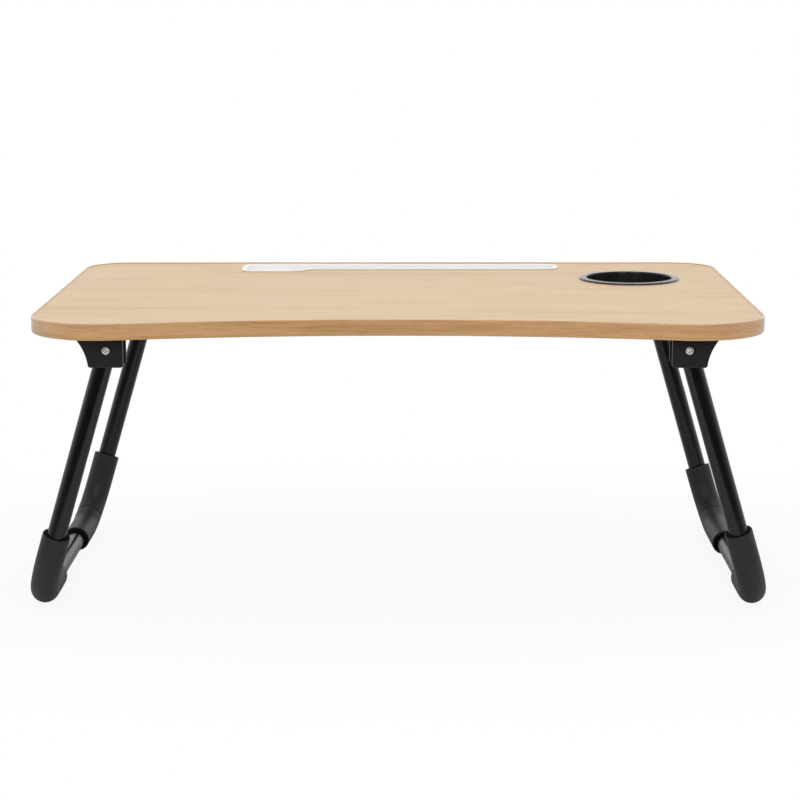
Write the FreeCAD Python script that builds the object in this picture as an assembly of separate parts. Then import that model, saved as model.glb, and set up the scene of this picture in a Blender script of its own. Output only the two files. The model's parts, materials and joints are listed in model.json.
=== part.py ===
import FreeCAD, Part
import math
import os

# Folding laptop table: a laminated board on two bent-tube legs that fold flat under it.
# +X is the user's right, +Y runs from the user to the far edge, +Z is up.
# The origin is on the floor, under the middle of the board. Millimetres and degrees.

V = FreeCAD.Vector
X_AXIS = V(1, 0, 0)
Y_AXIS = V(0, 1, 0)
Z_AXIS = V(0, 0, 1)
ORIGIN = V(0, 0, 0)
SIDES = {"left": -1, "right": 1}
ENDS = {"front": -1, "rear": 1}

# Board
top_width = 600.0
top_depth = 400.0
core_thickness = 10.5
laminate_thickness = 0.75
band_thickness = 2.0
band_lip = 0.75               # how far the edging stands above and below the board
band_edge_radius = 1.2
band_inner_radius = 0.4
band_tongue = 2.0             # thickness of the edging's tongue
band_tongue_depth = 7.0
kerf_gap = 0.15               # tongue to its kerf
rear_corner_radius = 40.0
front_corner_radius = 60.0
front_scoop = 26.5            # how far the front edge curves in at its middle

# White tray in the far edge: a long slot with a wider, shallower pocket at its left end
tray_length = 300.5
tray_edge_inset = 16.0        # far edge of the tray to the far edge of the board
slot_width = 36.0
pocket_extra = 16.0           # how much wider the pocket is than the slot
pocket_length = 45.2          # left end of the tray to the step down into the slot
pocket_width_run = 47.5       # left end of the tray to the S-curve
pocket_blend = 25.0           # length of the S-curve from pocket to slot
tray_corner_radius = 13.0
tray_flange = 1.2             # flange height above the board
tray_edge_radius = 0.55
tray_rim = 4.6                # outer edge to the recess
tray_mouth_radius = 1.0       # rounding of the recess's upper edge
tray_floor_radius = 1.5       # rounding round the two floors
tray_wall = 1.6
tray_floor = 2.0
tray_seat_gap = 0.3           # tray to its cut-out
slot_recess = 9.5
pocket_recess = 4.0

# Cup holder
cup_side_inset = 89.4         # axis to the right edge of the board
cup_rear_inset = 118.5        # axis to the far edge of the board
cup_bore = 77.6
cup_flange_diameter = 90.6
cup_flange = 1.9
cup_flange_lip = 1.5          # flange height at its outer edge
cup_flange_radius = 0.4
cup_wall = 1.6
cup_floor = 1.8
cup_depth = 43.0              # board surface to the inside of the cup's floor
cup_draft = 2.5               # how much the bore's radius shrinks to the floor
cup_corner_radius = 4.0
cup_mouth_radius = 1.2
cup_seat_gap = 0.4            # cup to its hole
tab_count = 4
tab_angle = 83.0              # first tab, anticlockwise from +X
tab_width = 7.0
tab_slit = 0.8
tab_start = 1.2               # board surface to the top of the slits
tab_reach = 7.0               # how far the tabs pass below the board
tab_barb = 1.2
tab_barb_length = 4.0
tab_barb_gap = 0.2            # barb to the underside of the board

# Leg frames
tube_diameter = 16.0
tube_wall = 1.0
bend_radius = 40.0
leg_tilt = 16.4               # outward lean of an open leg
front_leg_inset = 45.0        # front tubes to the front edge of the board
pivot_inset = 63.3            # pivot axis to the side of the board
folded_gap = 8.0              # between the two legs when both are folded
cup_leg_gap = 3.1             # cup at its mouth to the rear tube of a folded leg

# Push-on corner sleeves, which are the feet
sleeve_wall = 3.5
sleeve_fit = 0.15
sleeve_up = 20.0              # straight length above the bend
sleeve_in = {"front": 34.0, "rear": 48.0}     # straight length along the floor
sleeve_slant = 11.0           # the ends lean back on the outside of the bend, where the sleeve is stretched
sleeve_lip_radius = 0.8
foot_flat = 0.4               # how much of the round is flat where it stands
# How far each sleeve has crept up its tube from the nominal seat
sleeve_creep = {"front_left": -2.0, "front_right": 1.5, "rear_left": 5.0, "rear_right": -7.0}

# End plugs that carry the pivots
plug_fit = 0.1
plug_cap = 1.5
plug_length = 18.0

# Brackets
fold_clearance = 2.55         # folded sleeve to the underside of the board
cheek_thickness = 3.2
channel_gap = 0.4             # tube to each cheek
bracket_base = 3.0
bracket_inboard = 14.0        # pivot to the open inner edge
bracket_flare = 28.9          # pivot to the outer edge at the board
bracket_flare_bow = 3.0
bracket_skirt = 14.0          # pivot to the lower edge
bracket_corner_radius = 2.5
bracket_heel_radius = 2.2     # lower outer corner
bracket_edge_radius = 1.0
stop_wall = 1.8
stop_gap = 0.3                # open leg to its stop
swing_gap = 0.4               # turning tube end to the base

# Pivot screws and nuts
pivot_diameter = 5.0
pivot_fit = 0.08
pivot_hole_gap = 0.05
pivot_head_diameter = 8.0
pivot_head_height = 2.4
head_recess_gap = 1.0
recess_depth = 1.4
nut_flats = 8.0
nut_height = 4.0
nut_gap = 0.1
screw_past_nut = 0.6

# Countersunk screws that hold the brackets
wood_screw_diameter = 3.5
wood_screw_head = 7.0
wood_screw_length = 12.0
wood_screw_point = 3.0
wood_screw_gap = 0.05
wood_screw_inboard = 8.5      # pivot to the inner screw
wood_screw_outboard = 17.5    # pivot to the outer screw

# Sizes that follow
top_thickness = core_thickness + 2 * laminate_thickness
tube_radius = tube_diameter / 2
tube_bore_radius = tube_radius - tube_wall
sleeve_bore_radius = tube_radius + sleeve_fit
sleeve_radius = sleeve_bore_radius + sleeve_wall
pivot_radius = pivot_diameter / 2
pivot_drop = sleeve_radius + fold_clearance
pivot_x = top_width / 2 - pivot_inset
leg_reach = pivot_x - sleeve_radius - folded_gap / 2
tilt = math.radians(leg_tilt)
pivot_z = leg_reach * math.cos(tilt) + sleeve_radius - foot_flat
underside_z = pivot_z + pivot_drop
surface_z = underside_z + top_thickness
cup_x = top_width / 2 - cup_side_inset
cup_y = top_depth / 2 - cup_rear_inset
cup_radius = cup_bore / 2
cup_outer_radius = cup_radius + cup_wall
rear_tube_y = cup_y + cup_outer_radius + cup_leg_gap + tube_radius
tube_y = {"front": front_leg_inset - top_depth / 2, "rear": rear_tube_y}
channel_width = tube_diameter + 2 * channel_gap
bracket_depth = channel_width + 2 * cheek_thickness
base_face = pivot_drop - bracket_base
swing_radius = base_face - swing_gap
tube_top = math.sqrt(swing_radius ** 2 - tube_radius ** 2)
stop_offset = tube_radius + stop_gap
head_seat = bracket_depth / 2 - recess_depth
margin = 5.0                  # how far a cutter passes the face that it opens


def edge_loop(*edges):
    return Part.Wire(list(edges))


def line(a, b):
    return Part.makeLine(a, b)


def arc(a, middle, b):
    return Part.Arc(a, middle, b).toShape()


def prism(wire, z, height):
    """Upright solid on a flat outline drawn at z = 0."""
    solid = Part.Face(wire).extrude(V(0, 0, height))
    solid.translate(V(0, 0, z))
    return solid


def upright(radius, z, height, x, y):
    return Part.makeCylinder(radius, height, V(x, y, z), Z_AXIS)


def polar(centre, radius, degrees):
    angle = math.radians(degrees)
    return centre + V(radius * math.cos(angle), radius * math.sin(angle), 0)


def corner_arc(centre, radius, start, end):
    middle = (start + end) / 2
    return arc(polar(centre, radius, start), polar(centre, radius, middle), polar(centre, radius, end))


def save(shape, name):
    shape.exportStep("parts/" + name + ".step")


def level_face(shape, z):
    """The flat face of a shape at height z."""
    def is_level(face):
        return abs(face.BoundBox.ZMin - z) < 1e-3 and abs(face.BoundBox.ZMax - z) < 1e-3
    return next(face for face in shape.Faces if is_level(face))


def outer_edges(shape, z):
    return level_face(shape, z).OuterWire.Edges


def hole_edges(shape, z):
    """Edges round the one hole in the flat face at height z."""
    face = level_face(shape, z)
    return next(wire for wire in face.Wires if not wire.isSame(face.OuterWire)).Edges


def board_outline(inset):
    """Outline of the board, moved in by inset: round corners and one long hollow front arc."""
    half = top_width / 2
    front_x = half - front_corner_radius
    rear_x = half - rear_corner_radius
    front_y = front_corner_radius - top_depth / 2
    rear_y = top_depth / 2 - rear_corner_radius
    # The hollow arc is tangent to both front corner arcs.
    reach = (front_x ** 2 + front_scoop ** 2) / (2 * front_scoop)
    hollow_y = front_y - (reach - front_scoop)
    lean = math.degrees(math.asin(front_x / reach))
    hollow = reach - front_corner_radius + inset
    front_r = front_corner_radius - inset
    rear_r = rear_corner_radius - inset
    hollow_centre = V(0, hollow_y, 0)
    edges = [
        corner_arc(hollow_centre, hollow, 90 + lean, 90 - lean),
        corner_arc(V(front_x, front_y, 0), front_r, -90 - lean, 0),
        line(V(half - inset, front_y, 0), V(half - inset, rear_y, 0)),
        corner_arc(V(rear_x, rear_y, 0), rear_r, 0, 90),
        line(V(rear_x, rear_y + rear_r, 0), V(-rear_x, rear_y + rear_r, 0)),
        corner_arc(V(-rear_x, rear_y, 0), rear_r, 90, 180),
        line(V(inset - half, rear_y, 0), V(inset - half, front_y, 0)),
        corner_arc(V(-front_x, front_y, 0), front_r, 180, 270 + lean),
    ]
    return edge_loop(*edges)


def tray_outline(inset):
    """Outline of the tray, moved in by inset: a wide end that narrows through an S-curve."""
    left = -tray_length / 2
    right = tray_length / 2
    far = top_depth / 2 - tray_edge_inset
    near = far - slot_width
    wide = near - pocket_extra
    radius = tray_corner_radius
    left_x = left + radius
    right_x = right - radius
    bend = (pocket_blend ** 2 + pocket_extra ** 2) / (4 * pocket_extra)
    turn = math.degrees(math.atan2(pocket_blend / 2, bend - pocket_extra / 2))
    blend_x = left + pocket_width_run + pocket_blend
    outer = V(blend_x, near - bend, 0)
    inner = V(blend_x - pocket_blend, wide + bend, 0)
    edges = [
        line(V(left_x, far - inset, 0), V(right_x, far - inset, 0)),
        corner_arc(V(right_x, far - radius, 0), radius - inset, 90, 0),
        line(V(right - inset, far - radius, 0), V(right - inset, near + radius, 0)),
        corner_arc(V(right_x, near + radius, 0), radius - inset, 0, -90),
        line(V(right_x, near + inset, 0), V(blend_x, near + inset, 0)),
        corner_arc(outer, bend + inset, 90, 90 + turn),
        corner_arc(inner, bend - inset, turn - 90, -90),
        line(V(blend_x - pocket_blend, wide + inset, 0), V(left_x, wide + inset, 0)),
        corner_arc(V(left_x, wide + radius, 0), radius - inset, -90, -180),
        line(V(left + inset, wide + radius, 0), V(left + inset, far - radius, 0)),
        corner_arc(V(left_x, far - radius, 0), radius - inset, 180, 90),
    ]
    return edge_loop(*edges)


def pocket_zone(z, height):
    """Block over the left end of the tray, as far as the step down into the slot."""
    left = -tray_length / 2
    return Part.makeBox(pocket_length + margin, top_depth, height, V(left - margin, -top_depth / 2, z))


def wood_screw_places(end, side):
    """Axis positions of one bracket's two screws."""
    out = SIDES[side]
    y = tube_y[end]
    return [V(out * (pivot_x - wood_screw_inboard), y, 0), V(out * (pivot_x + wood_screw_outboard), y, 0)]


def board_cutter(z, height):
    """Cup hole and tray cut-out."""
    tray = prism(tray_outline(tray_rim - tray_wall - tray_seat_gap), z, height)
    return upright(cup_outer_radius + cup_seat_gap, z, height, cup_x, cup_y).fuse(tray)


def board_layer(z, height):
    layer = prism(board_outline(band_thickness), z, height)
    return layer.cut(board_cutter(z - margin, height + 2 * margin))


def pilot_holes(shape):
    """Holes for the bracket screws, as deep as the screws reach."""
    tip = wood_screw_length - bracket_base + wood_screw_gap
    radius = wood_screw_diameter / 2 + wood_screw_gap
    holes = [
        upright(radius, underside_z - margin, margin + tip, place.x, place.y)
        for end in ENDS
        for side in SIDES
        for place in wood_screw_places(end, side)
    ]
    return shape.cut(Part.makeCompound(holes))


def edge_ring(outer, inner, height):
    """Ring between two insets of the board's outline, halfway up the board."""
    z = underside_z + (top_thickness - height) / 2
    return prism(board_outline(outer), z, height).cut(prism(board_outline(inner), z, height))


def make_edge_band():
    """T-shaped plastic edging: a rounded rim, proud of both faces, on a tongue in the core's kerf."""
    rim = edge_ring(0, band_thickness, top_thickness + 2 * band_lip)
    ends = (underside_z - band_lip, surface_z + band_lip)
    rim = rim.makeFillet(band_edge_radius, [edge for z in ends for edge in outer_edges(rim, z)])
    rim = rim.makeFillet(band_inner_radius, [edge for z in ends for edge in hole_edges(rim, z)])
    tongue = edge_ring(band_thickness / 2, band_thickness + band_tongue_depth, band_tongue)
    return rim.fuse(tongue).removeSplitter()


def cut_kerf(core):
    depth = band_thickness + band_tongue_depth + kerf_gap
    return core.cut(edge_ring(0, depth, band_tongue + 2 * kerf_gap))


def make_slot_tray():
    """Drop-in tray: a thin round-edged flange on the board and a shell that hangs in the cut-out."""
    flange = prism(tray_outline(0), surface_z, tray_flange)
    ends = (surface_z, surface_z + tray_flange)
    flange = flange.makeFillet(tray_edge_radius, [edge for z in ends for edge in outer_edges(flange, z)])
    body_depth = slot_recess + tray_floor
    body = prism(tray_outline(tray_rim - tray_wall), surface_z - body_depth, body_depth)
    recess = prism(tray_outline(tray_rim), surface_z - slot_recess, slot_recess + tray_flange + margin)
    under_pocket = pocket_zone(surface_z - body_depth - margin, body_depth + margin - pocket_recess)
    recess = recess.cut(under_pocket)
    hollow_height = body_depth - pocket_recess - tray_floor
    hollow = prism(tray_outline(tray_rim), surface_z - body_depth - margin, hollow_height + margin)
    inner_zone = pocket_zone(surface_z - body_depth - margin, hollow_height + margin)
    inner_zone.translate(V(-tray_wall, 0, 0))
    tray = flange.fuse(body).cut(recess).cut(hollow.common(inner_zone)).removeSplitter()
    tray = tray.makeFillet(tray_mouth_radius, hole_edges(tray, surface_z + tray_flange))
    floors = (surface_z - slot_recess, surface_z - pocket_recess)
    return tray.makeFillet(tray_floor_radius, [edge for z in floors for edge in outer_edges(tray, z)])


def cup_tab(angle):
    """Slits that free one snap tab, and the barb on the tab, for a cup on the Z axis at the surface."""
    top = -tab_start
    bottom = -(top_thickness + tab_reach)
    inner = cup_radius - cup_draft - cup_wall
    reach = cup_outer_radius + margin - inner
    half = tab_width / 2
    slits = Part.makeBox(reach, tab_slit, top - bottom, V(inner, half, bottom))
    slits = slits.fuse(Part.makeBox(reach, tab_slit, top - bottom, V(inner, -half - tab_slit, bottom)))
    foot = Part.makeBox(reach, tab_width + 2 * tab_slit, tab_slit, V(inner, -half - tab_slit, bottom))
    ledge = -top_thickness - tab_barb_gap
    root = cup_outer_radius - cup_wall
    tip = cup_outer_radius + cup_seat_gap + tab_barb
    barb = Part.makePolygon([
        V(root, -half, ledge), V(tip, -half, ledge),
        V(root, -half, ledge - tab_barb_length), V(root, -half, ledge),
    ])
    barb = Part.Face(barb).extrude(V(0, tab_width, 0))
    cutter = slits.fuse(foot)
    for shape in (cutter, barb):
        shape.rotate(ORIGIN, Z_AXIS, angle)
    return cutter, barb


def make_cup_holder():
    """Turned shell with a sloped flange, a drafted wall and snap tabs that catch under the board."""
    flange_r = cup_flange_diameter / 2
    floor_r = cup_radius - cup_draft
    outer_floor = -cup_depth - cup_floor
    slope = cup_draft / cup_depth
    corner = cup_corner_radius
    mouth = cup_mouth_radius
    edge = cup_flange_radius
    bow = math.sqrt(0.5)
    outer_foot = floor_r + cup_wall
    points = {
        "axis_low": V(0, 0, outer_floor),
        "foot": V(outer_foot - corner, 0, outer_floor),
        "foot_mid": V(outer_foot - corner + corner * bow, 0, outer_floor + corner - corner * bow),
        "foot_side": V(outer_foot, 0, outer_floor + corner),
        "neck": V(cup_outer_radius, 0, 0),
        "lip_low": V(flange_r, 0, 0),
        "lip": V(flange_r, 0, cup_flange_lip - edge),
        "lip_mid": V(flange_r - edge + edge * bow, 0, cup_flange_lip - edge + edge * bow),
        "lip_top": V(flange_r - edge, 0, cup_flange_lip),
        "crown": V(cup_radius + mouth, 0, cup_flange),
        "mouth_mid": V(cup_radius + mouth - mouth * bow, 0, cup_flange - mouth + mouth * bow),
        "mouth": V(cup_radius, 0, cup_flange - mouth),
        "wall_low": V(floor_r + slope * corner, 0, corner - cup_depth),
        "corner_mid": V(floor_r - corner + corner * bow, 0, corner - corner * bow - cup_depth),
        "floor": V(floor_r - corner, 0, -cup_depth),
        "axis_high": V(0, 0, -cup_depth),
    }
    p = points
    profile = edge_loop(
        line(p["axis_low"], p["foot"]),
        arc(p["foot"], p["foot_mid"], p["foot_side"]),
        line(p["foot_side"], p["neck"]),
        line(p["neck"], p["lip_low"]),
        line(p["lip_low"], p["lip"]),
        arc(p["lip"], p["lip_mid"], p["lip_top"]),
        line(p["lip_top"], p["crown"]),
        arc(p["crown"], p["mouth_mid"], p["mouth"]),
        line(p["mouth"], p["wall_low"]),
        arc(p["wall_low"], p["corner_mid"], p["floor"]),
        line(p["floor"], p["axis_high"]),
        line(p["axis_high"], p["axis_low"]),
    )
    cup = Part.Face(profile).revolve(ORIGIN, Z_AXIS, 360)
    for index in range(tab_count):
        cutter, barb = cup_tab(tab_angle + index * 360 / tab_count)
        cup = cup.fuse(barb).cut(cutter)
    cup.translate(V(cup_x, cup_y, surface_z))
    return cup


def on_stop(offset, height):
    """Point at a height from the pivot on a plane that an open tube lies along, offset from its axis."""
    return V((offset - height * math.sin(tilt)) / math.cos(tilt), 0, height)


def around_pivot(radius, degrees):
    angle = math.radians(degrees)
    return V(radius * math.cos(angle), 0, radius * math.sin(angle))


def stop_profile(radius, offset, side_x):
    """Outline that follows the swinging tube end, then the open tube, closed out to side_x."""
    low = -(bracket_skirt + margin)
    start = math.degrees(math.asin(base_face / radius))
    end = leg_tilt - math.degrees(math.acos(offset / radius))
    top = around_pivot(radius, start)
    turn = around_pivot(radius, end)
    foot = on_stop(offset, low)
    return edge_loop(
        arc(top, around_pivot(radius, (start + end) / 2), turn),
        line(turn, foot),
        line(foot, V(side_x, 0, low)),
        line(V(side_x, 0, low), V(side_x, 0, base_face)),
        line(V(side_x, 0, base_face), top),
    )


def extrude_y(wire, width):
    """Solid from an outline in the XZ plane, centred on y = 0."""
    solid = Part.Face(wire).extrude(V(0, width, 0))
    solid.translate(V(0, -width / 2, 0))
    return solid


def wood_screw_cutter(x):
    """Countersunk hole through the bracket's base, entered from below."""
    hole = wood_screw_diameter / 2 + wood_screw_gap
    head = wood_screw_head / 2
    shank = wood_screw_diameter / 2
    sink = Part.makeCone(head, shank, head - shank, V(x, 0, base_face), Z_AXIS)
    return sink.fuse(Part.makeCylinder(hole, bracket_base + 2 * margin, V(x, 0, base_face - margin), Z_AXIS))


def hexagon(flats, depth, y):
    """Hexagonal prism along +Y from y."""
    corner = flats / math.sqrt(3)
    points = [around_pivot(corner, 60 * index) for index in range(7)]
    solid = Part.Face(Part.makePolygon(points)).extrude(V(0, depth, 0))
    solid.translate(V(0, y, 0))
    return solid


def make_bracket():
    """Moulded bracket about its pivot: +X outboard, +Y towards the screw head.

    Two cheeks hold the tube. A wall between them follows the swing of the tube's end and then
    stops the open leg. Outside that wall the base is a flange for the outer screw.
    """
    foot_out = on_stop(stop_offset + stop_wall, -bracket_skirt)
    top_in = V(-bracket_inboard, 0, pivot_drop)
    foot_in = V(-bracket_inboard, 0, -bracket_skirt)
    top_out = V(bracket_flare, 0, pivot_drop)
    chord = top_out - foot_out
    across = V(-chord.z, 0, chord.x).normalize()
    flare_middle = (top_out + foot_out) * 0.5 + across * bracket_flare_bow
    outline = edge_loop(
        line(top_in, foot_in),
        line(foot_in, foot_out),
        arc(foot_out, flare_middle, top_out),
        line(top_out, top_in),
    )
    body = extrude_y(outline, bracket_depth)
    for radius, corner in ((bracket_corner_radius, foot_in), (bracket_heel_radius, foot_out)):
        across_foot = [edge for edge in body.Edges if edge.CenterOfMass.isEqual(corner, 1e-3)]
        body = body.makeFillet(radius, across_foot)
    faces = [
        edge for edge in body.Edges
        if edge.BoundBox.YLength < 1e-3 and edge.BoundBox.ZMin < pivot_drop - 1e-3
    ]
    body = body.makeFillet(bracket_edge_radius, faces)
    channel_top = swing_radius + swing_gap
    inside = stop_profile(channel_top, stop_offset, -bracket_inboard - margin)
    outside = stop_profile(channel_top + stop_wall, stop_offset + stop_wall, bracket_flare + margin)
    body = body.cut(extrude_y(inside, channel_width)).cut(extrude_y(outside, channel_width))
    hole = pivot_radius + pivot_hole_gap
    half = bracket_depth / 2
    drill = Part.makeCylinder(hole, bracket_depth + 2 * margin, V(0, -half - margin, 0), Y_AXIS)
    recess_radius = pivot_head_diameter / 2 + head_recess_gap
    recess = Part.makeCylinder(recess_radius, recess_depth + margin, V(0, head_seat, 0), Y_AXIS)
    pocket = hexagon(nut_flats + 2 * nut_gap, recess_depth + margin, -half - margin)
    cutters = [drill, recess, pocket]
    cutters += [wood_screw_cutter(x) for x in (-wood_screw_inboard, wood_screw_outboard)]
    for cutter in cutters:
        body = body.cut(cutter)
    return body


def make_wood_screws():
    """The two countersunk screws of one bracket, in the bracket's own frame."""
    head = wood_screw_head / 2
    shank = wood_screw_diameter / 2
    screws = []
    for x in (-wood_screw_inboard, wood_screw_outboard):
        points = [
            V(0, 0, 0), V(head, 0, 0), V(shank, 0, head - shank),
            V(shank, 0, wood_screw_length - wood_screw_point), V(0, 0, wood_screw_length), V(0, 0, 0),
        ]
        screw = Part.Face(Part.makePolygon(points)).revolve(ORIGIN, Z_AXIS, 360)
        screw.translate(V(x, 0, base_face))
        screws.append(screw)
    return Part.makeCompound(screws)


def make_pivot_screw():
    """Domed-head screw along Y, its head seated in the recess of the outer cheek."""
    head = pivot_head_diameter / 2
    length = 2 * head_seat + nut_height + screw_past_nut
    rise = pivot_head_height
    dome = (head ** 2 + rise ** 2) / (2 * rise)
    half_angle = math.asin(head / dome) / 2
    side = V(dome * math.sin(half_angle), rise - dome + dome * math.cos(half_angle), 0)
    profile = edge_loop(
        line(V(0, -length, 0), V(pivot_radius, -length, 0)),
        line(V(pivot_radius, -length, 0), V(pivot_radius, 0, 0)),
        line(V(pivot_radius, 0, 0), V(head, 0, 0)),
        arc(V(head, 0, 0), side, V(0, rise, 0)),
        line(V(0, rise, 0), V(0, -length, 0)),
    )
    screw = Part.Face(profile).revolve(ORIGIN, Y_AXIS, 360)
    screw.translate(V(0, head_seat, 0))
    return screw


def make_pivot_nut():
    """Hexagon nut in the pocket of the inner cheek."""
    start = -head_seat - nut_height
    hole = pivot_radius + pivot_hole_gap
    bore = Part.makeCylinder(hole, nut_height + 2 * margin, V(0, start - margin, 0), Y_AXIS)
    return hexagon(nut_flats, nut_height, start).cut(bore)


def at_pivot(shape, end, side):
    """Copy of a bracket piece, turned to face outwards at one of the four corners."""
    placed = shape.copy()
    if SIDES[side] < 0:
        placed = placed.mirror(ORIGIN, X_AXIS)
    if ENDS[end] < 0:
        placed = placed.mirror(ORIGIN, Y_AXIS)
    placed.translate(V(SIDES[side] * pivot_x, tube_y[end], pivot_z))
    return placed


def open_leg(shape, side):
    """Move a piece from the leg's own plane, pivot at the origin, to the open leg."""
    placed = shape.copy()
    placed.rotate(ORIGIN, Y_AXIS, -SIDES[side] * leg_tilt)
    placed.translate(V(SIDES[side] * pivot_x, 0, pivot_z))
    return placed


def swept_circle(path, radius, start, direction):
    circle = Part.Wire(Part.makeCircle(radius, start, direction))
    return Part.Wire(path).makePipeShell([circle], True, False)


def bend(end):
    """Edge and end points of one tube bend in the leg's plane, from the upright to the floor run."""
    y = tube_y[end]
    inward = -ENDS[end]
    upper = V(0, y, bend_radius - leg_reach)
    lower = V(0, y + inward * bend_radius, -leg_reach)
    centre = V(0, y + inward * bend_radius, bend_radius - leg_reach)
    middle = centre + V(0, -inward, -1).normalize() * bend_radius
    return upper, middle, lower


def make_leg_tube():
    """One steel tube bent to a U, its two open ends drilled for the pivots."""
    end_height = tube_top - plug_cap
    front_top = V(0, tube_y["front"], end_height)
    rear_top = V(0, tube_y["rear"], end_height)
    front_upper, front_middle, front_lower = bend("front")
    rear_upper, rear_middle, rear_lower = bend("rear")
    path = [
        line(front_top, front_upper),
        arc(front_upper, front_middle, front_lower),
        line(front_lower, rear_lower),
        arc(rear_lower, rear_middle, rear_upper),
        line(rear_upper, rear_top),
    ]
    outside = swept_circle(path, tube_radius, front_top, V(0, 0, -1))
    inside = swept_circle(path, tube_bore_radius, front_top, V(0, 0, -1))
    tube = outside.cut(inside)
    hole = pivot_radius + pivot_fit
    for end in ENDS:
        start = V(0, tube_y[end] - tube_diameter, 0)
        tube = tube.cut(Part.makeCylinder(hole, 2 * tube_diameter, start, Y_AXIS))
    return tube


def make_tube_plug(end):
    """Plastic plug in a tube's top end, with a cap over the cut edge and the pivot's bearing bore."""
    y = tube_y[end]
    end_height = tube_top - plug_cap
    stem = upright(tube_bore_radius - plug_fit, end_height - plug_length, plug_length, 0, y)
    cap = upright(tube_radius, end_height, plug_cap, 0, y)
    bore = Part.makeCylinder(pivot_radius + pivot_fit, 2 * tube_diameter, V(0, y - tube_diameter, 0), Y_AXIS)
    return stem.fuse(cap).cut(bore)


def make_sleeve(end, side):
    """Soft corner sleeve over one bend, open at both slanted ends and flat where it meets the floor."""
    creep = sleeve_creep[end + "_" + side]
    inward = -ENDS[end]
    upper, middle, lower = bend(end)
    top = upper + V(0, 0, sleeve_up + creep)
    tip = lower + V(0, inward * (sleeve_in[end] - creep), 0)
    spare_top = top + V(0, 0, margin)
    spare_tip = tip + V(0, inward * margin, 0)
    path = [line(spare_top, upper), arc(upper, middle, lower), line(lower, spare_tip)]
    sleeve = swept_circle(path, sleeve_radius, spare_top, V(0, 0, -1))
    slant = math.radians(sleeve_slant)
    ends = [
        (top, V(0, -inward * math.sin(slant), math.cos(slant))),
        (tip, V(0, inward * math.cos(slant), -math.sin(slant))),
    ]
    for point, outward in ends:
        sleeve = sleeve.cut(Part.makeCylinder(2 * sleeve_radius, 3 * margin, point, outward))
    mouths = [
        edge for edge in sleeve.Edges
        if edge.Closed and min(edge.CenterOfMass.distanceToPoint(point) for point in (top, tip)) < 1e-3
    ]
    sleeve = sleeve.makeFillet(sleeve_lip_radius, mouths)
    sleeve = sleeve.cut(swept_circle(path, sleeve_bore_radius, spare_top, V(0, 0, -1)))
    sleeve = open_leg(sleeve, side)
    box = sleeve.BoundBox
    below = Part.makeBox(
        box.XLength + 2 * margin, box.YLength + 2 * margin, margin,
        V(box.XMin - margin, box.YMin - margin, -margin))
    return sleeve.cut(below)


def build_board():
    core = board_layer(underside_z + laminate_thickness, core_thickness)
    bottom = board_layer(underside_z, laminate_thickness)
    save(cut_kerf(pilot_holes(core)), "core_board")
    save(pilot_holes(bottom), "bottom_laminate")
    save(board_layer(surface_z - laminate_thickness, laminate_thickness), "top_laminate")
    save(make_edge_band(), "edge_band")
    save(make_slot_tray(), "slot_tray")
    save(make_cup_holder(), "cup_holder")


def build_corners():
    pieces = {
        "bracket": make_bracket(),
        "bracket_screws": make_wood_screws(),
        "pivot_screw": make_pivot_screw(),
        "pivot_nut": make_pivot_nut(),
    }
    for end in ENDS:
        for side in SIDES:
            for name, shape in pieces.items():
                save(at_pivot(shape, end, side), end + "_" + side + "_" + name)


def build_legs():
    tube = make_leg_tube()
    for side in SIDES:
        save(open_leg(tube, side), side + "_leg_tube")
        for end in ENDS:
            corner = end + "_" + side
            save(open_leg(make_tube_plug(end), side), corner + "_tube_plug")
            save(make_sleeve(end, side), corner + "_sleeve")


os.makedirs("parts", exist_ok=True)
build_board()
build_corners()
build_legs()
print("board surface at", round(surface_z, 2), "mm, pivot at", round(pivot_x, 2), round(pivot_z, 2))
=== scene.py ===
import bmesh
import bpy
import json
import math
from mathutils import Matrix, Vector


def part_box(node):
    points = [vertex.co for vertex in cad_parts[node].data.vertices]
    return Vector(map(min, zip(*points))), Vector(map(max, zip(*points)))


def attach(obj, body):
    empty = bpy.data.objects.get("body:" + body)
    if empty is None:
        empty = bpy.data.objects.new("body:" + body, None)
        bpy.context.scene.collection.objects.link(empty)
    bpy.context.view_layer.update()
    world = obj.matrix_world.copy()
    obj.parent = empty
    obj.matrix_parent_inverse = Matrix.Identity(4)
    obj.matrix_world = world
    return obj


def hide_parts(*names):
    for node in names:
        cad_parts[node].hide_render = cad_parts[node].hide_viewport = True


# Folding laptop table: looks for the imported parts, in metres and in their frame.
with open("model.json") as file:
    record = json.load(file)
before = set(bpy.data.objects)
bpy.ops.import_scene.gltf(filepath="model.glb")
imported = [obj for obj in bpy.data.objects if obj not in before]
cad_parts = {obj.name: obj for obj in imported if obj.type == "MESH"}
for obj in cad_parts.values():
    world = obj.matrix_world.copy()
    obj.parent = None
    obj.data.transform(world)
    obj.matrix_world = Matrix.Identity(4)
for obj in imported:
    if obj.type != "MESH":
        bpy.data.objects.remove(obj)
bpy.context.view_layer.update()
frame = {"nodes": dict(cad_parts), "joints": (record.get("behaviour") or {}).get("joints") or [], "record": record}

CORNERS = ("front_left", "front_right", "rear_left", "rear_right")

# Camera, fitted to the board's outline in the photograph; angles in degrees
CAMERA_PLACE = (0.0149, -1.9169, 0.51266)
CAMERA_PITCH = 79.334
CAMERA_TURN = 0.418
CAMERA_ROLL = -0.058
CAMERA_LENS = 98.55
CAMERA_SENSOR = 36.0

# Corner sleeves, as in the part's source
BEND_RADIUS = 0.040
BEND_LENGTH = BEND_RADIUS * math.pi / 2
SLEEVE_RADIUS = 0.01165
SLEEVE_BORE = 0.00815
SLEEVE_LIP = 0.0008
SLEEVE_SLANT = math.tan(math.radians(11.0))
FOOT_FLAT = 0.0004
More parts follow.
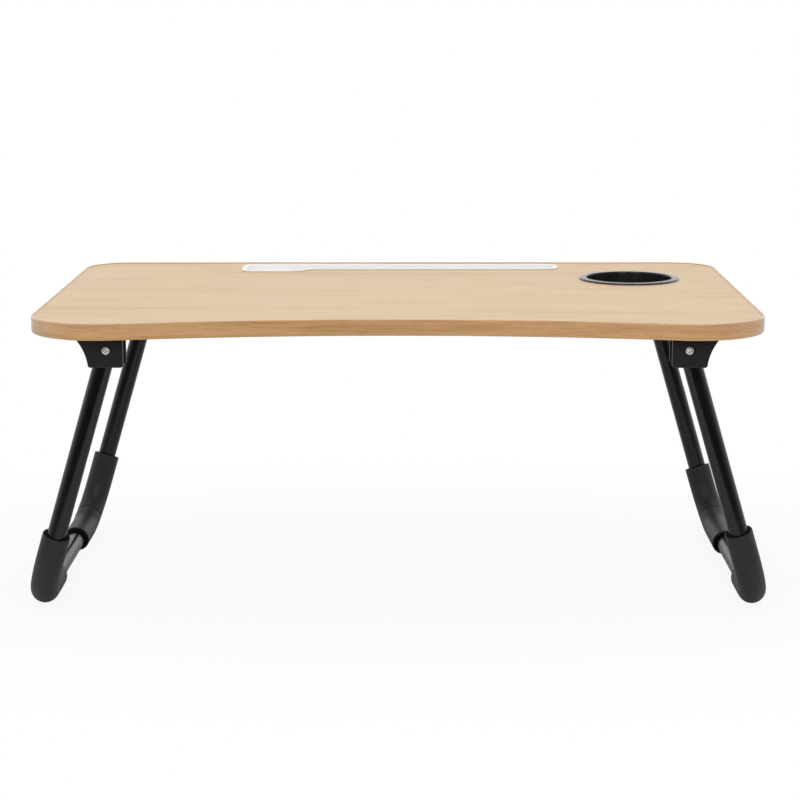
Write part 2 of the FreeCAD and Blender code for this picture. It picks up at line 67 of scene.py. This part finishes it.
# Reach from the bend up the upright and along the floor, and how far each sleeve has slid up
SLEEVE_UP = 0.020
SLEEVE_IN = {"front": 0.034, "rear": 0.048}
SLEEVE_CREEP = {
    "front_left": -0.002, "front_right": 0.0015, "rear_left": 0.005, "rear_right": -0.007,
}
# Mesh of a sleeve: the bore takes one ring of the outside in so many
SLEEVE_SIDES = 56
RING_STEP = 0.0016
BORE_STRIDE = 4
LIP_STEPS = 4
# Folds on the inside of the bend: place along the bend in degrees, half width and height
SHARP_FOLD = (55.0, 0.0011, -0.0007)
SLEEVE_FOLDS = [(47.0, 0.0035, 0.0003), SHARP_FOLD, (63.0, 0.0040, 0.0005), (76.0, 0.0030, -0.0003)]
FOLD_STEP = 0.0004
FOLD_STEPS = 9
FOLD_FADE = 0.6
# The rear left sleeve is creased most
FOLD_SHARE = {"front_left": 0.6, "front_right": 0.6, "rear_left": 1.0, "rear_right": 0.45}

# Fasteners; a recess is the span of its cross, the width of its wings and its depth
TURNED_SIDES = 48
HEAD_RADIUS = 0.004
HEAD_RISE = 0.0024
HEAD_STEPS = 10
HEAD_RECESS = (0.0046, 0.0012, 0.0017)
HEAD_TURNS = {"front_left": 4.0, "front_right": 25.0, "rear_left": 52.0, "rear_right": 13.0}
PIVOT_RADIUS = 0.0025
PIVOT_CHAMFER = 0.0005
NUT_SIDES = 60
NUT_FLATS = 0.008
NUT_BORE = 0.00255
NUT_BORE_CHAMFER = 0.0004
NUT_FACE_SHARE = 0.95
NUT_SLOPE = math.tan(math.radians(30))
WOOD_SCREW_EDGE = 0.0002
WOOD_SCREW_POINT = 0.003
WOOD_SCREW_RECESS = (0.0040, 0.0010, 0.0014)
WOOD_SCREW_TURNS = (20.0, 65.0)
# Cutter of a recess: its rise above the head as a share of the depth, and its half span and
# half width at the bottom as shares of the span and the width
CUTTER_RISE = 0.5
CUTTER_TIP_SPAN = 0.22
CUTTER_TIP_WING = 0.32

# Floor, with the oval in which the camera sees a share of its shadow
FLOOR_SIZE = 8.0
FLOOR_FRONT = -0.5
FLOOR_WHITE = 0.7
SHADOW_SHARE = 0.09
SHADOW_OVAL = (1.0, 1.9, 1.0)
SHADOW_FADE = (0.35, 0.93)
# Surroundings: where along Y they fade towards the front, and what is left there
SOFT_LEVEL = 0.87
SOFT_FADE = (-0.9, -0.72)
SOFT_FRONT_SHARE = 0.1
MIRROR_FADE = (-1.0, 0.7)
MIRROR_FRONT_LEVEL = 0.03
# Name, place, target, size and power of each lamp
LAMPS = [
    ("overhead_softbox", (0.0, 0.1, 1.75), (0.0, 0.0, 0.2), (2.2, 1.8), 5.5),
    ("front_softbox_left", (-0.6, -1.8, 0.75), (0.0, -0.15, 0.2), (0.8, 0.5), 6.0),
    ("front_softbox_right", (0.6, -1.8, 0.75), (0.0, -0.15, 0.2), (0.8, 0.5), 6.0),
]

# Printed oak: colours from dark to light, and for the broad bands, the streaks and the pores
# a noise scale along the grain and one across it
OAK_STOPS = (0.3, 0.44, 0.56, 0.7)
OAK_TOP = [(0.61, 0.400, 0.215), (0.65, 0.460, 0.232), (0.665, 0.436, 0.250), (0.685, 0.486, 0.260)]
OAK_EDGE = [(0.46, 0.250, 0.100), (0.55, 0.322, 0.142), (0.61, 0.352, 0.172), (0.60, 0.372, 0.168)]
OAK_BACK = [(0.52, 0.40, 0.27), (0.58, 0.45, 0.31), (0.61, 0.475, 0.335), (0.62, 0.49, 0.345)]
TOP_GRAIN = ((2.2, 34), (7, 170), (55, 1300))
BACK_GRAIN = ((2.2, 30), (7, 150), (40, 1100))
EDGE_GRAIN = ((4, 150), (16, 560), (70, 1250))
STREAK_TINTS = [(0.32, (0.78, 0.73, 0.68)), (0.5, (1.0, 1.0, 1.0)), (0.72, (1.07, 1.07, 1.06))]
PORE_TINTS = [(0.3, (0.72, 0.64, 0.56)), (0.42, (1.0, 1.0, 1.0)), (0.66, (1.08, 1.08, 1.07))]


def new_material(name):
    """Material with one Principled shader; returns the material, its node tree and the shader."""
    material = bpy.data.materials.new(name)
    material.use_nodes = True
    tree = material.node_tree
    return material, tree, tree.nodes["Principled BSDF"]


def feed(tree, node, inputs):
    """Set a node's inputs, by name or number, to values or to the sockets that feed them."""
    for key, value in inputs.items():
        if isinstance(value, bpy.types.NodeSocket):
            tree.links.new(value, node.inputs[key])
        else:
            node.inputs[key].default_value = value


def add_node(tree, kind, inputs=None, **settings):
    """New node with the given inputs and settings."""
    node = tree.nodes.new(kind)
    for key, value in settings.items():
        setattr(node, key, value)
    feed(tree, node, inputs or {})
    return node


def place(tree):
    """Position in the table's own frame, in metres."""
    return add_node(tree, "ShaderNodeTexCoord").outputs["Object"]


def stretch(tree, vector, scale, shift=(0, 0, 0)):
    """Vector scaled on each axis and shifted."""
    inputs = {"Vector": vector, "Scale": scale, "Location": shift}
    return add_node(tree, "ShaderNodeMapping", inputs).outputs["Vector"]


def noise(tree, vector, scale=1.0, detail=3.0):
    """Noise from 0 to 1 at a position."""
    inputs = {"Vector": vector, "Scale": scale, "Detail": detail}
    return add_node(tree, "ShaderNodeTexNoise", inputs).outputs["Fac"]


def ramp(tree, factor, stops):
    """Colour ramp from (position, colour) pairs."""
    node = add_node(tree, "ShaderNodeValToRGB", {"Fac": factor})
    elements = node.color_ramp.elements
    while len(elements) < len(stops):
        elements.new(0.5)
    for element, (position, colour) in zip(elements, stops):
        element.position = position
        element.color = (*colour, 1.0)
    return node.outputs["Color"]


def tinted(tree, strength, colour, tint):
    """Colour multiplied by a tint, in the given strength."""
    node = add_node(tree, "ShaderNodeMix", data_type="RGBA", blend_type="MULTIPLY")
    sockets = {item.identifier: item for item in node.inputs}
    sockets["Factor_Float"].default_value = strength
    tree.links.new(colour, sockets["A_Color"])
    tree.links.new(tint, sockets["B_Color"])
    return next(item for item in node.outputs if item.identifier == "Result_Color")


def mixed(tree, factor, first, second):
    """Number that goes from the first to the second as the factor goes from 0 to 1."""
    inputs = {"Factor": factor, "A": first, "B": second}
    return add_node(tree, "ShaderNodeMix", inputs).outputs["Result"]


def remap(tree, value, low, high):
    """Value from 0..1 to low..high."""
    inputs = {"Value": value, "To Min": low, "To Max": high}
    return add_node(tree, "ShaderNodeMapRange", inputs).outputs["Result"]


def smooth_range(tree, value, start, end, low, high):
    """Smooth step from low to high between the start and the end of a value."""
    inputs = {"Value": value, "From Min": start, "From Max": end, "To Min": low, "To Max": high}
    node = add_node(tree, "ShaderNodeMapRange", inputs, interpolation_type="SMOOTHSTEP")
    return node.outputs["Result"]


def math_node(tree, operation, first, second):
    """Result of an operation on two numbers."""
    node = add_node(tree, "ShaderNodeMath", {0: first, 1: second}, operation=operation)
    return node.outputs["Value"]


def bump(tree, height, strength, distance):
    """Normal of a surface with fine relief."""
    inputs = {"Height": height, "Strength": strength, "Distance": distance}
    return add_node(tree, "ShaderNodeBump", inputs).outputs["Normal"]


def wood_print(name, colours, along, scales, contrast, sway, roughness, coat=0.0):
    """Printed oak: broad tinted bands, fine streaks and short pores.

    The grain runs along the given axes and sways across them. The contrast is that of the
    streaks and that of the pores.
    """
    material, tree, shader = new_material(name)
    here = place(tree)
    drift = remap(tree, noise(tree, here, scale=3.5, detail=1.0), -sway, sway)
    across = {axis: drift for axis in "XYZ" if axis not in along}
    offset = add_node(tree, "ShaderNodeCombineXYZ", across).outputs["Vector"]
    swayed = add_node(tree, "ShaderNodeVectorMath", {0: here, 1: offset}, operation="ADD")

    def grain(scale, shift, detail):
        slow, fine = scale
        spread = tuple(slow if axis in along else fine for axis in "XYZ")
        return noise(tree, stretch(tree, swayed.outputs["Vector"], spread, shift), detail=detail)

    bands = grain(scales[0], shift=(3.1, 7.4, 1.9), detail=3.0)
    streaks = grain(scales[1], shift=(0.4, 2.8, 5.2), detail=5.0)
    pores = grain(scales[2], shift=(8.5, 1.3, 0.7), detail=2.0)
    base = ramp(tree, bands, list(zip(OAK_STOPS, colours)))
    base = tinted(tree, contrast[0], base, ramp(tree, streaks, STREAK_TINTS))
    base = tinted(tree, contrast[1], base, ramp(tree, pores, PORE_TINTS))
    feed(tree, shader, {
        "Base Color": base,
        "Roughness": remap(tree, streaks, roughness + 0.04, roughness - 0.04),
        "Normal": bump(tree, pores, strength=0.12, distance=0.00005),
        "Coat Weight": coat,
        "Coat Roughness": 0.12,
    })
    return material


def fibreboard():
    """Raw pressed fibres of the core."""
    material, tree, shader = new_material("fibreboard")
    fibres = noise(tree, stretch(tree, place(tree), (900, 900, 2600)), detail=4.0)
    feed(tree, shader, {
        "Base Color": ramp(tree, fibres, [(0.3, (0.15, 0.11, 0.075)), (0.7, (0.29, 0.22, 0.155))]),
        "Roughness": 0.9,
        "Normal": bump(tree, fibres, strength=0.4, distance=0.0002),
    })
    return material


def moulding(name, colour, spread, roughness, texture_scale, texture_depth, gloss=0.5):
    """Moulded plastic: an even colour with faint flow marks and a fine surface texture."""
    material, tree, shader = new_material(name)
    here = place(tree)
    flow = noise(tree, here, scale=35.0, detail=2.0)
    low = tuple(value * (1 - spread) for value in colour)
    high = tuple(value * (1 + spread) for value in colour)
    texture = noise(tree, here, texture_scale, detail=2.0)
    feed(tree, shader, {
        "Base Color": ramp(tree, flow, [(0.35, low), (0.65, high)]),
        "Roughness": remap(tree, texture, roughness - 0.06, roughness + 0.06),
        "Normal": bump(tree, texture, strength=0.5, distance=texture_depth),
        "Specular IOR Level": gloss,
    })
    return material


def powder_coat():
    """Semi-gloss black paint on the tubes, with a little orange peel."""
    material, tree, shader = new_material("powder_coat")
    here = place(tree)
    peel = noise(tree, here, scale=420.0, detail=2.0)
    cloud = noise(tree, here, scale=30.0, detail=3.0)
    shades = [(0.3, (0.0022, 0.0022, 0.0025)), (0.7, (0.004, 0.004, 0.0044))]
    feed(tree, shader, {
        "Base Color": ramp(tree, cloud, shades),
        "Roughness": remap(tree, cloud, 0.17, 0.25),
        "Normal": bump(tree, peel, strength=0.2, distance=0.00004),
    })
    return material


def plated(name, colour, roughness):
    """Plated steel with faint turning and handling marks."""
    material, tree, shader = new_material(name)
    marks = noise(tree, stretch(tree, place(tree), (900, 5000, 900)), detail=3.0)
    low = tuple(value * 0.86 for value in colour)
    feed(tree, shader, {
        "Base Color": ramp(tree, marks, [(0.3, low), (0.7, colour)]),
        "Roughness": remap(tree, marks, roughness - 0.06, roughness + 0.08),
        "Metallic": 1.0,
    })
    return material


MATERIALS = {
    "wood_laminate": wood_print(
        "oak_laminate", OAK_TOP, "X", TOP_GRAIN,
        contrast=(0.42, 0.35), sway=0.03, roughness=0.38),
    "backing_laminate": wood_print(
        "backing_laminate", OAK_BACK, "X", BACK_GRAIN,
        contrast=(0.5, 0.4), sway=0.03, roughness=0.55),
    "edge_band": wood_print(
        "oak_edging", OAK_EDGE, "XY", EDGE_GRAIN,
        contrast=(0.7, 0.65), sway=0.002, roughness=0.22, coat=0.6),
    "board_core": fibreboard(),
    "white_plastic": moulding(
        "white_moulding", (0.86, 0.857, 0.852), spread=0.012, roughness=0.34,
        texture_scale=1800.0, texture_depth=0.00001),
    "gloss_black_plastic": moulding(
        "gloss_black_moulding", (0.014, 0.014, 0.0145), spread=0.1, roughness=0.16,
        texture_scale=600.0, texture_depth=0.000002),
    "black_plastic": moulding(
        "black_moulding", (0.0155, 0.0155, 0.0163), spread=0.08, roughness=0.34,
        texture_scale=2600.0, texture_depth=0.00003, gloss=0.4),
    "zinc_screws": plated("zinc_plate", (0.66, 0.66, 0.65), roughness=0.38),
    "bright_screws": plated("nickel_plate", (0.90, 0.90, 0.895), roughness=0.36),
    "black_tube": powder_coat(),
    "soft_sleeve": moulding(
        "soft_moulding", (0.0135, 0.0135, 0.0142), spread=0.08, roughness=0.5,
        texture_scale=1500.0, texture_depth=0.00006, gloss=0.42),
}
SLEEVE_CUT = moulding(
    "soft_moulding_cut", (0.006, 0.006, 0.0063), spread=0.1, roughness=0.8,
    texture_scale=1500.0, texture_depth=0.00006, gloss=0.1)


def dress_nodes():
    """Give every carried-over part the material of its slot."""
    for row in frame["record"]["subparts"]:
        data = frame["nodes"][row["node"]].data
        data.materials.clear()
        data.materials.append(MATERIALS[row["material_slot"]])


def face_outwards(mesh):
    """Turn the faces of a closed mesh outwards."""
    solid = bmesh.new()
    solid.from_mesh(mesh)
    bmesh.ops.recalc_face_normals(solid, faces=solid.faces)
    solid.to_mesh(mesh)
    solid.free()


def add_piece(name, mesh, body, node, slot, smooth_angle):
    """Put a mesh in the scene in place of a CAD part."""
    face_outwards(mesh)
    mesh.shade_smooth()
    mesh.set_sharp_from_angle(angle=math.radians(smooth_angle))
    if not mesh.materials:
        mesh.materials.append(MATERIALS[slot])
    piece = bpy.data.objects.new(name, mesh)
    bpy.context.scene.collection.objects.link(piece)
    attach(piece, body)
    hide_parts(node)


def ring_faces(first, second, count):
    """Quads between two rings of vertices, given by the number of their first vertex."""
    return [
        (first + i, first + (i + 1) % count, second + (i + 1) % count, second + i)
        for i in range(count)
    ]


def turn_about(axis, degrees):
    """Rotation about one of the frame's axes."""
    return Matrix.Rotation(math.radians(degrees), 4, axis)


def on_bend(along, y, inward, reach):
    """Point on a tube's axis in the leg's plane and the way to the outside of its bend.

    The distance along the tube counts from the start of the bend. It is negative on the upright
    and goes on past the bend into the floor run.
    """
    turn = min(max(along, 0.0), BEND_LENGTH) / BEND_RADIUS
    outside = Vector((0, -inward * math.cos(turn), -math.sin(turn)))
    centre = Vector((0, y + inward * BEND_RADIUS, BEND_RADIUS - reach))
    point = centre + outside * BEND_RADIUS
    point.z -= min(along, 0.0)
    point.y += inward * max(along - BEND_LENGTH, 0.0)
    return point, outside


def fold_height(along, side):
    """How far the soft wall stands out or in on the inside of the bend."""
    height = 0.0
    for degrees, width, rise in SLEEVE_FOLDS:
        offset = (along - BEND_RADIUS * math.radians(degrees)) / width
        height += rise * math.exp(-offset * offset)
    return height * max(-side, 0.0) ** FOLD_FADE


def sleeve_stations(start, end):
    """Distances along the tube for the sleeve's rings, closer together at the sharp fold."""
    fold = BEND_RADIUS * math.radians(SHARP_FOLD[0])
    steps = max(2, round((end - start) / RING_STEP))
    places = {start + (end - start) * i / steps for i in range(steps + 1)}
    places |= {fold + FOLD_STEP * i for i in range(-FOLD_STEPS, FOLD_STEPS + 1)}
    return sorted(places)


def make_sleeve(corner):
    """Soft sleeve over one bend, with a flat foot.

    Its open ends are slanted and have a rounded lip, and the inside of the bend is folded.
    """
    end, side = corner.split("_")
    joint = next(item for item in frame["joints"] if item["name"] == side + "_leg_fold")
    pivot = Vector(joint["pos_m"])
    tilt = math.radians(joint["range_deg"][1] - 90)
    reach = (pivot.z - SLEEVE_RADIUS + FOOT_FLAT) / math.cos(tilt)
    low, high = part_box(corner + "_bracket")
    y = (low.y + high.y) / 2
    inward = 1 if end == "front" else -1
    out = -1 if side == "left" else 1
    to_frame = Matrix.Translation(pivot) @ Matrix.Rotation(-out * tilt, 4, "Y")
    start = -(SLEEVE_UP + SLEEVE_CREEP[corner])
    finish = BEND_LENGTH + SLEEVE_IN[end] - SLEEVE_CREEP[corner]
    points = []

    def slant(along):
        """Share of the slant at a ring: 1 at the upper end, 0 in the bend, -1 at the floor end."""
        if along < 0:
            return max(0.0, along / start)
        return -max(0.0, (along - BEND_LENGTH) / (finish - BEND_LENGTH))

    def ring(along, radius, fold_share):
        """Add the points of one ring."""
        for i in range(SLEEVE_SIDES):
            angle = 2 * math.pi * i / SLEEVE_SIDES
            side_of_bend = math.cos(angle)
            shifted = along + slant(along) * radius * side_of_bend * SLEEVE_SLANT
            centre, outside = on_bend(shifted, y, inward, reach)
            wall = radius + fold_share * fold_height(along, side_of_bend)
            spot = centre + outside * (wall * side_of_bend) + Vector((wall * math.sin(angle), 0, 0))
            spot = to_frame @ spot
            points.append((spot.x, spot.y, max(spot.z, 0.0)))

    lip = [math.radians(90 - 90 * k / LIP_STEPS) for k in range(LIP_STEPS + 1)]
    profile = [
        (SLEEVE_LIP * (1 - math.sin(a)), SLEEVE_RADIUS - SLEEVE_LIP * (1 - math.cos(a)))
        for a in lip
    ]
    stations = sleeve_stations(start + 2 * SLEEVE_LIP, finish - 2 * SLEEVE_LIP)
    outer = [(start + offset, radius) for offset, radius in profile]
    outer += [(along, SLEEVE_RADIUS) for along in stations]
    outer += [(finish - offset, radius) for offset, radius in reversed(profile)]
    inner = [finish] + stations[::-BORE_STRIDE] + [start]
    for along, radius in outer:
        ring(along, radius, FOLD_SHARE[corner])
    for along in inner:
        ring(along, SLEEVE_BORE, 0.0)
    rings = len(outer) + len(inner)
    faces = []
    slots = []
    for i in range(rings):
        faces += ring_faces(i * SLEEVE_SIDES, (i + 1) % rings * SLEEVE_SIDES, SLEEVE_SIDES)
        slots += [int(i >= len(outer) - 1)] * SLEEVE_SIDES
    name = corner + "_soft_sleeve"
    mesh = bpy.data.meshes.new(name)
    mesh.from_pydata(points, [], faces)
    mesh.materials.append(MATERIALS["soft_sleeve"])
    mesh.materials.append(SLEEVE_CUT)
    mesh.polygons.foreach_set("material_index", slots)
    add_piece(name, mesh, side + "_leg", corner + "_sleeve", "soft_sleeve", smooth_angle=50)


def turned(name, profile):
    """Solid of revolution about Z from (radius, height) pairs; both ends lie on the axis."""
    count = TURNED_SIDES
    points = [(0, 0, profile[0][1])]
    for radius, height in profile[1:-1]:
        for i in range(count):
            angle = 2 * math.pi * i / count
            points.append((radius * math.cos(angle), radius * math.sin(angle), height))
    points.append((0, 0, profile[-1][1]))
    last = len(points) - 1
    rows = len(profile) - 2
    faces = [(0, 1 + (i + 1) % count, 1 + i) for i in range(count)]
    for row in range(rows - 1):
        faces += ring_faces(1 + row * count, 1 + (row + 1) * count, count)
    base = 1 + (rows - 1) * count
    faces += [(base + i, base + (i + 1) % count, last) for i in range(count)]
    mesh = bpy.data.meshes.new(name)
    mesh.from_pydata(points, [], faces)
    return mesh


def cross_cutter(span, wing, depth):
    """Tapered cross that cuts a driver's recess into a head whose top is at z = 0."""
    def cross(reach, half, z):
        corner = [(reach, -half), (reach, half), (half, half)]
        turns = [(1, 0), (0, 1), (-1, 0), (0, -1)]
        return [(x * c - y * s, x * s + y * c, z) for c, s in turns for x, y in corner]

    top = cross(span / 2, wing / 2, depth * CUTTER_RISE)
    bottom = cross(span * CUTTER_TIP_SPAN, wing * CUTTER_TIP_WING, -depth)
    count = len(top)
    lids = [tuple(range(count)), tuple(range(2 * count - 1, count - 1, -1))]
    mesh = bpy.data.meshes.new("cross")
    mesh.from_pydata(top + bottom, [], ring_faces(0, count, count) + lids)
    return mesh


def carve(mesh, cutter):
    """Mesh that is left when the cutter is taken out of it."""
    solid = bpy.data.objects.new("solid", mesh)
    tool = bpy.data.objects.new("tool", cutter)
    for item in (solid, tool):
        face_outwards(item.data)
        bpy.context.scene.collection.objects.link(item)
    cut = solid.modifiers.new("cut", "BOOLEAN")
    cut.operation = "DIFFERENCE"
    cut.solver = "EXACT"
    cut.object = tool
    bpy.context.view_layer.update()
    evaluated = solid.evaluated_get(bpy.context.evaluated_depsgraph_get())
    result = bpy.data.meshes.new_from_object(evaluated)
    for item in (solid, tool):
        bpy.data.objects.remove(item)
    return result


def on_box_face(low, high, in_front):
    """Move from a fastener's own frame to the front or rear face of its box, +Z outwards."""
    spot = Vector(((low.x + high.x) / 2, low.y if in_front else high.y, (low.z + high.z) / 2))
    return Matrix.Translation(spot) @ turn_about("X", 90 if in_front else -90)


def make_pivot_screw(corner):
    """Domed cross-recess screw with a chamfered end, its head on the bracket's outer cheek."""
    node = corner + "_pivot_screw"
    low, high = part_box(node)
    length = high.y - low.y
    dome = (HEAD_RADIUS ** 2 + HEAD_RISE ** 2) / (2 * HEAD_RISE)
    spread = math.asin(HEAD_RADIUS / dome)
    arc = [spread * i / HEAD_STEPS for i in range(HEAD_STEPS + 1)]
    profile = [(dome * math.sin(a), dome * math.cos(a) - dome) for a in arc]
    profile += [(PIVOT_RADIUS, -HEAD_RISE), (PIVOT_RADIUS, PIVOT_CHAMFER - length)]
    profile += [(PIVOT_RADIUS - PIVOT_CHAMFER, -length), (0, -length)]
    mesh = carve(turned(node, profile), cross_cutter(*HEAD_RECESS))
    outer_face = on_box_face(low, high, in_front=corner.startswith("front"))
    mesh.transform(outer_face @ turn_about("Z", HEAD_TURNS[corner]))
    add_piece(node + "_domed", mesh, "top", node, "bright_screws", smooth_angle=32)


def make_pivot_nut(corner):
    """Hexagon nut with chamfered corners on the bracket's inner cheek."""
    node = corner + "_pivot_nut"
    low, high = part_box(node)
    height = high.y - low.y
    flat = NUT_FLATS / 2
    face = flat * NUT_FACE_SHARE
    # Radius, or None on the hexagon, slope and height of each ring
    rings = [
        (NUT_BORE, 0.0, -height),
        (NUT_BORE, 0.0, -NUT_BORE_CHAMFER),
        (NUT_BORE + NUT_BORE_CHAMFER, 0.0, 0.0),
        (face, 0.0, 0.0),
        (None, NUT_SLOPE, 0.0),
        (None, 0.0, -height),
    ]
    points = []
    for radius, slope, z in rings:
        for i in range(NUT_SIDES):
            angle = 2 * math.pi * i / NUT_SIDES
            side = flat / math.cos((angle % (math.pi / 3)) - math.pi / 6)
            away = radius or side
            drop = (side - face) * slope
            points.append((away * math.cos(angle), away * math.sin(angle), z - drop))
    faces = []
    for row in range(len(rings)):
        faces += ring_faces(row * NUT_SIDES, (row + 1) % len(rings) * NUT_SIDES, NUT_SIDES)
    mesh = bpy.data.meshes.new(node)
    mesh.from_pydata(points, [], faces)
    mesh.transform(on_box_face(low, high, in_front=not corner.startswith("front")))
    add_piece(node + "_hex", mesh, "top", node, "zinc_screws", smooth_angle=25)


def make_bracket_screws(corner):
    """The two countersunk cross-recess screws that hold one bracket."""
    node = corner + "_bracket_screws"
    low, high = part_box(node)
    head = (high.y - low.y) / 2
    shank = head / 2
    length = high.z - low.z
    profile = [(0, 0), (head - WOOD_SCREW_EDGE, 0), (head, -WOOD_SCREW_EDGE), (shank, shank - head)]
    profile += [(shank, WOOD_SCREW_POINT - length), (0, -length)]
    both = bmesh.new()
    for x, degrees in zip((low.x + head, high.x - head), WOOD_SCREW_TURNS):
        screw = carve(turned(node, profile), cross_cutter(*WOOD_SCREW_RECESS))
        spot = Vector((x, (low.y + high.y) / 2, low.z))
        screw.transform(Matrix.Translation(spot) @ turn_about("X", 180) @ turn_about("Z", degrees))
        both.from_mesh(screw)
    mesh = bpy.data.meshes.new(node)
    both.to_mesh(mesh)
    both.free()
    add_piece(node + "_sunk", mesh, "top", node, "zinc_screws", smooth_angle=32)


def white_floor():
    """Pale floor that keeps a faint shadow. The camera sees most of it as plain white."""
    mesh = bpy.data.meshes.new("floor")
    half = FLOOR_SIZE / 2
    corners = [(-half, FLOOR_FRONT, 0), (half, FLOOR_FRONT, 0), (half, half, 0), (-half, half, 0)]
    mesh.from_pydata(corners, [], [(0, 1, 2, 3)])
    floor = bpy.data.objects.new("floor", mesh)
    bpy.context.scene.collection.objects.link(floor)
    material, tree, shader = new_material("floor_white")
    feed(tree, shader, {
        "Base Color": (FLOOR_WHITE, FLOOR_WHITE, FLOOR_WHITE, 1),
        "Roughness": 0.9,
        "Specular IOR Level": 0.0,
    })
    glow = add_node(tree, "ShaderNodeEmission", {"Color": (1, 1, 1, 1), "Strength": 1.0})
    rays = add_node(tree, "ShaderNodeLightPath").outputs
    oval = stretch(tree, place(tree), SHADOW_OVAL)
    reach = add_node(tree, "ShaderNodeVectorMath", {0: oval}, operation="LENGTH").outputs["Value"]
    white = smooth_range(tree, reach, *SHADOW_FADE, 1 - SHADOW_SHARE, 1.0)
    share = math_node(tree, "MULTIPLY", rays["Is Camera Ray"], white)
    surfaces = {0: share, 1: shader.outputs[0], 2: glow.outputs[0]}
    mix = add_node(tree, "ShaderNodeMixShader", surfaces)
    feed(tree, tree.nodes["Material Output"], {"Surface": mix.outputs[0]})
    mesh.materials.append(material)


def studio_world():
    """White surroundings, darker in front, where a studio stands open behind the camera.

    The soft light ends there sharply, and mirrored rays see a slow fade.
    """
    world = bpy.data.worlds.new("studio")
    bpy.context.scene.world = world
    world.use_nodes = True
    tree = world.node_tree
    direction = add_node(tree, "ShaderNodeTexCoord").outputs["Generated"]
    y = add_node(tree, "ShaderNodeSeparateXYZ", {"Vector": direction}).outputs["Y"]
    soft = smooth_range(tree, y, *SOFT_FADE, SOFT_FRONT_SHARE * SOFT_LEVEL, SOFT_LEVEL)
    mirrored = smooth_range(tree, y, *MIRROR_FADE, MIRROR_FRONT_LEVEL, 1.0)
    rays = add_node(tree, "ShaderNodeLightPath").outputs
    direct = math_node(tree, "MAXIMUM", rays["Is Camera Ray"], rays["Is Transmission Ray"])
    indirect = mixed(tree, rays["Is Glossy Ray"], soft, mirrored)
    level = mixed(tree, direct, indirect, 1.0)
    feed(tree, tree.nodes["Background"], {"Color": (1, 1, 1, 1), "Strength": level})


def soft_lamp(name, position, target, size, power):
    """Rectangular lamp that points at a target."""
    data = bpy.data.lights.new(name, "AREA")
    data.shape = "RECTANGLE"
    data.size, data.size_y = size
    data.energy = power
    lamp = bpy.data.objects.new(name, data)
    bpy.context.scene.collection.objects.link(lamp)
    lamp.location = position
    lamp.rotation_euler = (Vector(target) - Vector(position)).to_track_quat("-Z", "Y").to_euler()


def build_camera():
    """Camera of the photograph."""
    data = bpy.data.cameras.new("camera")
    data.lens = CAMERA_LENS
    data.sensor_width = CAMERA_SENSOR
    camera = bpy.data.objects.new("camera", data)
    bpy.context.scene.collection.objects.link(camera)
    turn = turn_about("Z", CAMERA_TURN) @ turn_about("X", CAMERA_PITCH)
    camera.matrix_world = Matrix.Translation(CAMERA_PLACE) @ turn @ turn_about("Z", CAMERA_ROLL)
    bpy.context.scene.camera = camera


dress_nodes()
for corner_name in CORNERS:
    make_sleeve(corner_name)
    make_pivot_screw(corner_name)
    make_pivot_nut(corner_name)
    make_bracket_screws(corner_name)
white_floor()
studio_world()
for lamp in LAMPS:
    soft_lamp(*lamp)
build_camera()
bpy.context.scene.view_settings.view_transform = "Standard"
